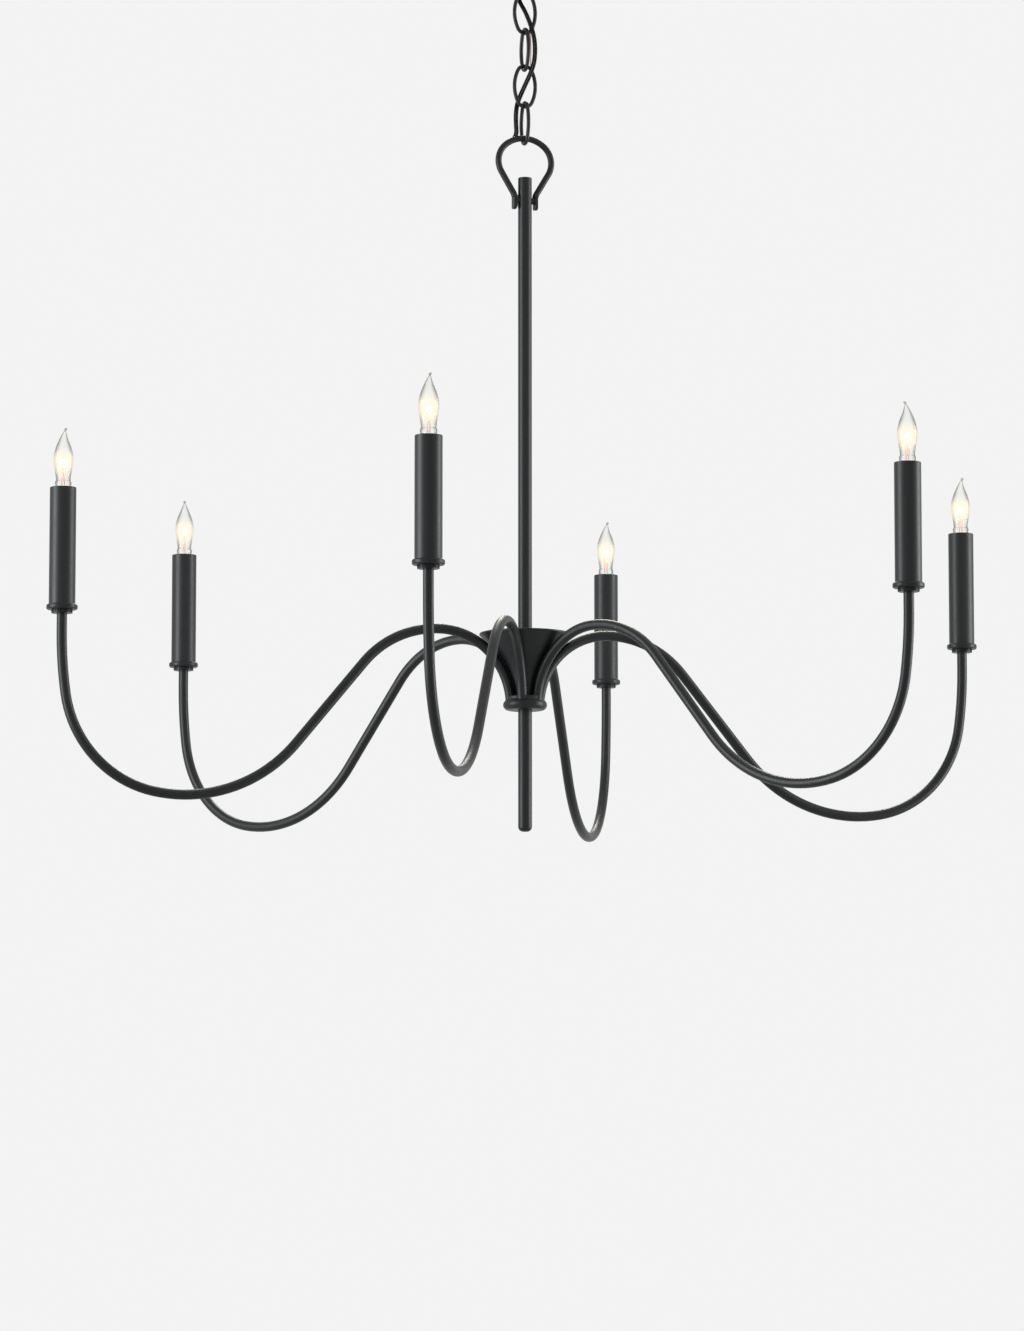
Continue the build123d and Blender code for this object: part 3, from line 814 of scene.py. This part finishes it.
@dataclass
class SupplyCord:
    """The flat twin lead and the bare earth wire, woven through the chain and into the stem."""

    finishes: Finishes
    width: float = 0.0053
    thickness: float = 0.0027
    web_angle: float = 38.0
    outline_steps: int = 10
    earth_radius: float = 0.0005
    earth_sides: int = 12
    route: tuple[Point, ...] = (
        (0.0, 0.0, -0.009), (0.0, 0.0, -0.04), (-0.0062, 0.0044, -0.061), (-0.0058, 0.0042, -0.069),
        (0.0003, -0.0006, -0.082), (0.004, -0.0046, -0.095), (0.0074, -0.0052, -0.105),
        (0.0102, -0.0047, -0.117), (0.0106, -0.0043, -0.13), (0.0092, -0.0049, -0.141),
        (0.0062, -0.0053, -0.15), (0.0024, -0.003, -0.16), (-0.0012, 0.0006, -0.1695),
        (-0.0042, 0.004, -0.178), (-0.0072, 0.006, -0.187), (-0.0086, 0.0061, -0.199),
        (-0.0082, 0.0063, -0.211), (-0.0074, 0.0066, -0.2205), (-0.0115, 0.006, -0.228),
        (-0.0204, 0.0055, -0.2336), (-0.0268, 0.0055, -0.242), (-0.0291, 0.0055, -0.2532),
        (-0.0263, 0.0055, -0.2638), (-0.0193, 0.0056, -0.2755), (-0.0131, 0.0062, -0.2858),
        (-0.0055, 0.011, -0.292), (-0.001, 0.0124, -0.303), (0.0, 0.011, -0.313), (0.0, 0.0065, -0.321),
        (0.0, 0.0015, -0.328), (0.0, 0.0, -0.339),
    )
    breaks: tuple[int, ...] = (4, 7, 11, 15, 21, 29)
    beside: Point = (0.0, 0.0023, 0.0)
    apart: dict[int, Point] = field(default_factory=lambda: {
        6: (-0.0028, 0.0018, 0.0), 7: (-0.0052, -0.001, 0.0), 8: (-0.0052, -0.001, 0.0),
        9: (-0.0036, 0.0017, 0.0), 25: (0.0, 0.0028, 0.0), 26: (0.0, 0.0028, 0.0),
        27: (0.0, 0.0021, -0.0012), 28: (0.0, 0.0021, -0.0012), 29: (0.0, 0.0027, -0.0012),
        30: (0.0, 0.003, 0.0)})
    bend_reach: float = 0.014
    smoothness: int = 12

    def spline_points(self, name: str, route: list[Vector]) -> list[Vector]:
        """Read points along the smooth line of a route.

        Args:
            name: Name of the scratch curve.
            route: Control points.

        Returns:
            Points along the line, from its start.
        """
        thing = curve_object(name, "NURBS", route)
        thing.data.resolution_u = self.smoothness
        spline = thing.data.splines[0]
        spline.order_u = 3
        spline.use_endpoint_u = True
        mesh = evaluated(thing)
        points = [vertex.co.copy() for vertex in mesh.vertices]
        bpy.data.meshes.remove(mesh)
        return points

    def cut(self, points: list[Vector], route: list[Vector]) -> list[list[Vector]]:
        """Cut a line at the middles of the runs where its stretches meet.

        Args:
            points: Points along the whole line.
            route: Its control points.

        Returns:
            The points of each stretch.
        """
        marks = [0]
        for number in self.breaks:
            middle = (route[number] + route[number + 1]) / 2
            marks.append(min(range(len(points)), key=lambda i: (points[i] - middle).length))
        return [points[first : last + 1] for first, last in zip(marks, marks[1:])]

    def twin_outline(self) -> list[FlatPoint]:
        """Draw the section of two round wires side by side, joined by a web.

        Returns:
            Points across and through.
        """
        radius = self.thickness / 2
        centre = self.width / 2 - radius
        dip = math.radians(self.web_angle)
        steps = self.outline_steps
        arc = [dip - math.pi + (2 * (math.pi - dip)) * step / steps for step in range(steps + 1)]
        right = [(centre + radius * math.cos(a), radius * math.sin(a)) for a in arc]
        return right + [(-u, -v) for u, v in right]

    def build(self, joints: list[dict]) -> None:
        """Make each stretch in place of its solid.

        Args:
            joints: The part's joints, the chain's first and from the top down.
        """
        route = [Vector(p) for p in self.route]
        earth_route = [p + Vector(self.apart.get(i, self.beside)) for i, p in enumerate(route)]
        leads = self.cut(self.spline_points("lead_line", route), route)
        earths = self.cut(self.spline_points("earth_line", earth_route), earth_route)
        earth_outline = round_outline(self.earth_radius, self.earth_sides)
        kinds = [
            ("supply_lead", leads, self.twin_outline(), self.finishes.cord, self.width),
            ("earth_wire", earths, earth_outline, self.finishes.copper, 2 * self.earth_radius),
        ]
        for name, stretches, outline, material, diameter in kinds:
            for number, (path, joint) in enumerate(zip(stretches, joints), start=1):
                bm = bmesh.new()
                add_sweep(bm, path, outline, X_AXIS)
                piece = new_object(f"{name}_{number}", mesh_from(bm, f"{name}_{number}", material))
                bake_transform(piece)
                if name == "supply_lead":
                    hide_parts(f"supply_cord_{number}")


@dataclass
class FlameBulb:
    """One lit flame bulb: glass with a bent tip, screw base, glass mount, support wires and filament.

    Points of the glass are radius and height above the sleeve's top. Rows of a wire are the share of its
    distance from the axis, the share of its lean, and the rise above its foot (low) or its corner (high).
    """

    finishes: Finishes
    neck: FlatPoint = (0.0064, -0.009)
    skirt: FlatPoint = (0.0089, 0.0045)
    waist: FlatPoint = (0.0080, 0.0095)
    belly: FlatPoint = (0.0109, 0.030)
    shoulder: FlatPoint = (0.0090, 0.0418)
    taper: FlatPoint = (0.0046, 0.053)
    tip: FlatPoint = (0.0013, 0.0612)
    crown: float = 0.0648
    wall: float = 0.0005
    bead_width: float = 0.85
    bead_neck: float = 0.5
    bead_steps: int = 10
    tip_bend: float = 0.0028
    bend_start: float = 0.05
    glass_segments: int = 64
    glass_steps: int = 12
    base_radius: float = 0.00595
    base_length: float = 0.017
    base_segments: int = 48
    flange_radius: float = 0.0069
    flange_height: float = 0.0015
    flange_bevel: FlatPoint = (0.0003, 0.0004)
    contact_radius: float = 0.003
    contact_height: float = 0.00235
    contact_round: FlatPoint = (0.8, 0.93)
    insulator_width: float = 1.3
    insulator_drop: float = 0.6
    thread_depth: float = 0.0007
    thread_pitch: float = 0.0028
    thread_rows: int = 72
    thread_fade: float = 0.002
    weld: float = 1e-6
    mount_line: tuple[FlatPoint, ...] = (
        (0.0052, 0.0), (0.0034, 0.004), (0.0022, 0.009), (0.0019, 0.016), (0.0023, 0.020), (0.0016, 0.0225))
    mount_cap: float = 0.0009
    mount_segments: int = 32
    mount_steps: int = 6
    press_start: float = 0.012
    press_share: float = 0.55
    filament_half_width: float = 0.0034
    filament_low: float = 0.0235
    filament_high: float = 0.0335
    filament_peaks: int = 3
    filament_bend: float = 0.00045
    bend_steps: int = 6
    coil_radius: float = 0.00042
    coil_turns: float = 90.0
    coil_steps: int = 900
    coil_wire: float = 0.00015
    coil_sides: int = 6
    wire_foot: float = 0.003
    wire_radius: float = 0.0003
    wire_sides: int = 8
    lead_gap: float = 0.0011
    lead_low: tuple[Point, ...] = ((1.0, 0.0, 0.0), (1.3, 0.0, 0.006))
    lead_high: tuple[Point, ...] = ((0.8, 0.0, -0.004), (1.0, 0.0, 0.0006))
    hook_radius: float = 0.00018
    hook_sides: int = 6
    hook_lean: float = 0.0009
    hook_low: tuple[Point, ...] = ((0.3, 1.0, 0.003),)
    hook_high: tuple[Point, ...] = ((0.7, 1.4, -0.003), (1.0, 0.0, -0.0003))

    def middle(self, number: int) -> Vector:
        """Find the middle of a candle's filament.

        Args:
            number: The candle's number.

        Returns:
            The point.
        """
        low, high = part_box(f"candle_sleeve_{number}")
        rise = (self.filament_low + self.filament_high) / 2
        return Vector(((low.x + high.x) / 2, (low.y + high.y) / 2, high.z + rise))

    def glass_line(self, inset: float) -> list[FlatPoint]:
        """Draw one side of the flame, from its neck to its tip.

        Args:
            inset: Distance inside the outer face.

        Returns:
            Points of radius and height.
        """
        corners = [self.neck, self.skirt, self.waist, self.belly, self.shoulder, self.taper, self.tip]
        return [(r - inset, z) for r, z in smooth_profile(corners, self.glass_steps)]

    def glass(self) -> bpy.types.Mesh:
        """Make the glass: a closed thin shell with a small round bead at the tip.

        Returns:
            The mesh.
        """
        bead = (self.crown - self.tip[1]) / 2
        beads = []
        for angle in (math.pi * step / self.bead_steps for step in range(1, self.bead_steps)):
            bulge = bead * self.bead_width * math.sin(angle)
            neck = self.tip[0] * self.bead_neck * math.cos(angle / 2)
            beads.append((max(bulge, neck), self.crown - bead * (1 + math.cos(angle))))
        inner = reversed(self.glass_line(self.wall))
        profile = [(0.0, self.tip[1] - self.wall), *inner, *self.glass_line(0.0), *beads, (0.0, self.crown)]
        bm = bmesh.new()
        add_lathe(bm, profile, self.glass_segments)
        for vertex in bm.verts:
            rise = max(0.0, vertex.co.z - self.bend_start) / (self.crown - self.bend_start)
            vertex.co.x += self.tip_bend * rise**2
        return mesh_from(bm, "flame_glass", self.finishes.glass)

    def base(self) -> bpy.types.Mesh:
        """Make the screw shell with its thread, the insulator and the contact.

        Returns:
            The mesh.
        """
        bm = bmesh.new()
        top = self.neck[1]
        shell_top = top - self.flange_height
        foot = shell_top - self.base_length
        inset, drop = self.flange_bevel
        add_lathe(bm, [(0.0, top), (self.flange_radius - inset, top), (self.flange_radius, top - drop),
                       (self.flange_radius, shell_top), (self.base_radius - self.thread_depth, shell_top)],
                  self.base_segments)
        rows = self.thread_rows
        thread = [(self.base_radius, shell_top - self.base_length * row / rows) for row in range(rows + 1)]
        for vertex in add_lathe(bm, thread, self.base_segments):
            turn = math.atan2(vertex.co.y, vertex.co.x) / FULL_TURN
            wave = math.cos(FULL_TURN * (vertex.co.z / self.thread_pitch + turn))
            fade = min(self.thread_fade, shell_top - vertex.co.z, vertex.co.z - foot) / self.thread_fade
            narrow = self.thread_depth * (1 - wave * max(fade, 0.0)) / 2
            vertex.co.xy *= (self.base_radius - narrow) / self.base_radius
        brim = foot - self.contact_height * self.insulator_drop
        add_lathe(bm, [(self.base_radius - self.thread_depth / 2, foot),
                       (self.contact_radius * self.insulator_width, brim), (self.contact_radius, brim)],
                  self.base_segments, slot=1)
        width, drop = self.contact_round
        add_lathe(bm, [(self.contact_radius, brim),
                       (self.contact_radius * width, foot - self.contact_height * drop),
                       (0.0, foot - self.contact_height)], self.base_segments)
        bmesh.ops.remove_doubles(bm, verts=bm.verts, dist=self.weld)
        return mesh_from(bm, "screw_base", self.finishes.brass, self.finishes.socket)

    def mount(self) -> bpy.types.Mesh:
        """Make the glass stem that stands in the neck, pressed flat towards its top.

        Returns:
            The mesh.
        """
        bottom = self.neck[1]
        line = smooth_profile([(radius, bottom + rise) for radius, rise in self.mount_line], self.mount_steps)
        top = line[-1][1] + self.mount_cap
        start = bottom + self.press_start
        bm = bmesh.new()
        add_lathe(bm, [(0.0, bottom), *line, (0.0, top)], self.mount_segments)
        for vertex in bm.verts:
            vertex.co.y *= 1.0 - self.press_share * max(0.0, vertex.co.z - start) / (top - start)
        return mesh_from(bm, "glass_mount", self.finishes.glass)

    def zigzag(self) -> list[Point]:
        """Place the corners of the filament's zigzag.

        Returns:
            The corners, from left to right.
        """
        rows = 2 * self.filament_peaks
        return [(self.filament_half_width * (2 * n / rows - 1), 0.0,
                 self.filament_high if n % 2 else self.filament_low) for n in range(rows + 1)]

    def wires(self) -> bpy.types.Mesh:
        """Make the two lead wires and the hooks that hold the filament's dips.

        Returns:
            The mesh.
        """
        ends = self.zigzag()
        lead = round_outline(self.wire_radius, self.wire_sides)
        hook = round_outline(self.hook_radius, self.hook_sides)
        rows = [
            (ends[0], -self.lead_gap, 0.0, self.lead_low, self.lead_high, lead, Y_AXIS),
            (ends[-1], self.lead_gap, 0.0, self.lead_low, self.lead_high, lead, Y_AXIS),
            (ends[2], ends[2][0], self.hook_lean, self.hook_low, self.hook_high, hook, X_AXIS),
            (ends[4], ends[4][0], -self.hook_lean, self.hook_low, self.hook_high, hook, X_AXIS),
        ]
        bm = bmesh.new()
        for (reach, _, height), gap, lean, low, high, outline, width_along in rows:
            path = [Vector((gap * out, lean * tilt, self.wire_foot + rise)) for out, tilt, rise in low]
            path += [Vector((reach * out, lean * tilt, height + rise)) for out, tilt, rise in high]
            add_sweep(bm, path, outline, width_along)
        # The wires take the painted glow finish.
        return mesh_from(bm, "support_wires", self.finishes.wire)

    def filament(self) -> bpy.types.Mesh:
        """Make the coiled filament.

        Returns:
            The mesh.
        """
        return shape_by_nodes(coil_tree(), self.zigzag(), {
            "Bend Radius": self.filament_bend, "Bend Steps": self.bend_steps, "Coil Radius": self.coil_radius,
            "Turns": self.coil_turns, "Steps": self.coil_steps, "Wire Radius": self.coil_wire,
            "Sides": self.coil_sides, "Finish": self.finishes.filament}, "coil")


@dataclass
class Candles:
    """The six bulbs, each turned a little differently in its socket."""

    bulb: FlameBulb
    count: int = 6
    turns: tuple[float, ...] = (345.0, 10.0, 75.0, 330.0, 30.0, 140.0)

    def build(self) -> None:
        """Put a bulb in each candle, in place of its solids."""
        kinds = [
            ("flame_glass", self.bulb.glass(), "bulb_glass", Slot.GLASS),
            ("screw_base", self.bulb.base(), "bulb_base", Slot.BASE),
            ("glass_mount", self.bulb.mount(), "", Slot.GLASS),
            ("support_wires", self.bulb.wires(), "", Slot.FILAMENT),
            ("filament_coil", self.bulb.filament(), "filament", Slot.FILAMENT),
        ]
        for number in range(1, self.count + 1):
            low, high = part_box(f"candle_sleeve_{number}")
            place = Matrix.Translation(((low.x + high.x) / 2, (low.y + high.y) / 2, high.z))
            place = place @ Matrix.Rotation(math.radians(self.turns[number - 1]), 4, "Z")
            for name, pattern, node, slot in kinds:
                mesh = pattern.copy()
                mesh.transform(place)
                piece = new_object(f"{name}_{number}", mesh)
                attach(piece, f"bulb_{number}")
                if node:
                    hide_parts(f"{node}_{number}")
                if slot is Slot.GLASS:
                    piece.visible_shadow = False
            LOG.info("bulb %d", number)
        for _, pattern, _, _ in kinds:
            bpy.data.meshes.remove(pattern)


@dataclass(frozen=True)
class SoftBox:
    """A soft lamp: its place, width and height in metres, power in watts and colour."""

    name: str
    place: Point
    size: FlatPoint
    power: float
    tint: Colour


@dataclass
class Studio:
    """Camera, soft lamps, pale surround and floor."""

    camera_place: Point = (-1.9279, -5.4956, -1.5235)
    camera_tilt: float = 96.904
    camera_turn: float = -19.19
    lens: float = 144.11
    sensor: float = 36.0
    far_limit: float = 100.0
    aim: Point = (0.0, 0.0, -0.75)
    boxes: tuple[SoftBox, ...] = (
        SoftBox("left_box", (-2.95, -0.1, -0.7), (1.2, 2.6), 125.0, colour(0.93, 0.98, 1.0)),
        SoftBox("right_box", (2.65, -0.9, -0.7), (1.1, 2.6), 100.0, colour(0.97, 0.99, 1.0)),
        SoftBox("top_box", (0.3, -0.3, 1.8), (2.4, 2.4), 16.0, colour(1.0, 0.97, 0.92)),
        SoftBox("key_box", (0.85, 2.05, 1.2), (1.1, 1.5), 48.0, colour(1.0, 0.98, 0.86)),
    )
    flame_power: float = 1.2
    flame_radius: float = 0.006
    flame_tint: Colour = (1.0, 0.90, 0.74, 1.0)
    surround: Colour = (0.896, 0.896, 0.896, 1.0)
    ambient: float = 0.45
    floor_height: float = -2.44
    floor_clear: float = 0.9
    floor_rim: float = 2.5
    floor_segments: int = 96

    def camera(self) -> None:
        """Add the camera at the photographed angle."""
        data = bpy.data.cameras.new("camera")
        data.lens = self.lens
        data.sensor_width = self.sensor
        data.clip_end = self.far_limit
        eye = new_object("camera", data)
        eye.location = self.camera_place
        eye.rotation_euler = (math.radians(self.camera_tilt), 0.0, math.radians(self.camera_turn))
        bpy.context.scene.camera = eye

    def lamps(self) -> None:
        """Add the soft boxes at both sides, above and behind."""
        for box in self.boxes:
            data = bpy.data.lights.new(box.name, "AREA")
            data.shape = "RECTANGLE"
            data.size, data.size_y = box.size
            data.energy = box.power
            data.color = box.tint[:3]
            lamp = new_object(box.name, data)
            lamp.location = box.place
            lamp.rotation_euler = (Vector(self.aim) - Vector(box.place)).to_track_quat("-Z", "Y").to_euler()
            lamp.visible_camera = False
            lamp.visible_transmission = False

    def flames(self, places: list[Vector]) -> None:
        """Add the light of each lit bulb.

        Args:
            places: The middles of the filaments.
        """
        for number, place in enumerate(places, start=1):
            data = bpy.data.lights.new(f"flame_{number}", "POINT")
            data.energy = self.flame_power
            data.color = self.flame_tint[:3]
            data.shadow_soft_size = self.flame_radius
            flame = new_object(f"flame_{number}", data)
            flame.location = place
            flame.visible_transmission = False
            flame.visible_glossy = False

    def seen_rays(self, tree: Tree) -> Socket:
        """Tell the rays that show a surface from those that only light another.

        Args:
            tree: The tree that takes the nodes.

        Returns:
            1 for camera, glossy and transmission rays, and 0 for the others.
        """
        rays = add_node(tree, "ShaderNodeLightPath").outputs
        seen = maths(tree, "MAXIMUM", rays["Is Camera Ray"], rays["Is Glossy Ray"])
        return maths(tree, "MAXIMUM", seen, rays["Is Transmission Ray"])

    def surround_light(self) -> None:
        """Make the world: a pale surround that shows, and a softer level that lights."""
        world = bpy.data.worlds.new("studio")
        world.use_nodes = True
        bpy.context.scene.world = world
        tree = world.node_tree
        shown = tree.nodes["Background"]
        feed(tree, shown, {"Color": self.surround})
        soft = add_node(tree, "ShaderNodeBackground", {"Color": self.surround, "Strength": self.ambient})
        choose = add_node(tree, "ShaderNodeMixShader", {
            0: self.seen_rays(tree), 1: soft.outputs["Background"], 2: shown.outputs["Background"]})
        feed(tree, tree.nodes["World Output"], {"Surface": choose.outputs["Shader"]})

    def floor(self, material: bpy.types.Material) -> None:
        """Lay the pale floor of the room, which passes into the surround towards its rim.

        Args:
            material: The floor's finish, which gets that rim.
        """
        tree = material.node_tree
        centre = (0.0, 0.0, self.floor_height)
        away = add_node(tree, "ShaderNodeVectorMath", {0: place_of(tree), 1: centre}, operation="DISTANCE")
        fade = step_up(tree, away.outputs["Value"], self.floor_clear, self.floor_rim)
        level = add_node(tree, "ShaderNodeMapRange", {"Value": self.seen_rays(tree), "To Min": self.ambient})
        rim = add_node(tree, "ShaderNodeEmission", {
            "Color": self.surround, "Strength": level.outputs["Result"]})
        choose = add_node(tree, "ShaderNodeMixShader", {
            0: fade, 1: tree.nodes["Principled BSDF"].outputs["BSDF"], 2: rim.outputs["Emission"]})
        feed(tree, tree.nodes["Material Output"], {"Surface": choose.outputs["Shader"]})
        bm = bmesh.new()
        profile = [(0.0, self.floor_height), (self.floor_rim, self.floor_height)]
        add_lathe(bm, profile, self.floor_segments)
        new_object("room_floor", mesh_from(bm, "room_floor", material))

    def build(self, floor_finish: bpy.types.Material) -> None:
        """Set the whole studio up.

        Args:
            floor_finish: The floor's material.
        """
        bpy.context.scene.view_settings.view_transform = "Standard"
        self.camera()
        self.lamps()
        self.surround_light()
        self.floor(floor_finish)


def main() -> None:
    """Load the frame and dress it piece by piece."""
    logging.basicConfig(level=logging.INFO, format="%(message)s")
    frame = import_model()
    finishes = Finishes(sleeve_top=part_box("candle_sleeve_1")[1].z)
    bulb = FlameBulb(finishes)
    studio = Studio()
    studio.build(finishes.floor)
    studio.flames([bulb.middle(number) for number in range(1, Candles.count + 1)])
    Ironwork(finishes).dress(frame["nodes"])
    SupplyCord(finishes).build(frame["joints"])
    Chain(finishes).build()
    Candles(bulb).build()


if __name__ == "__main__":
    main()
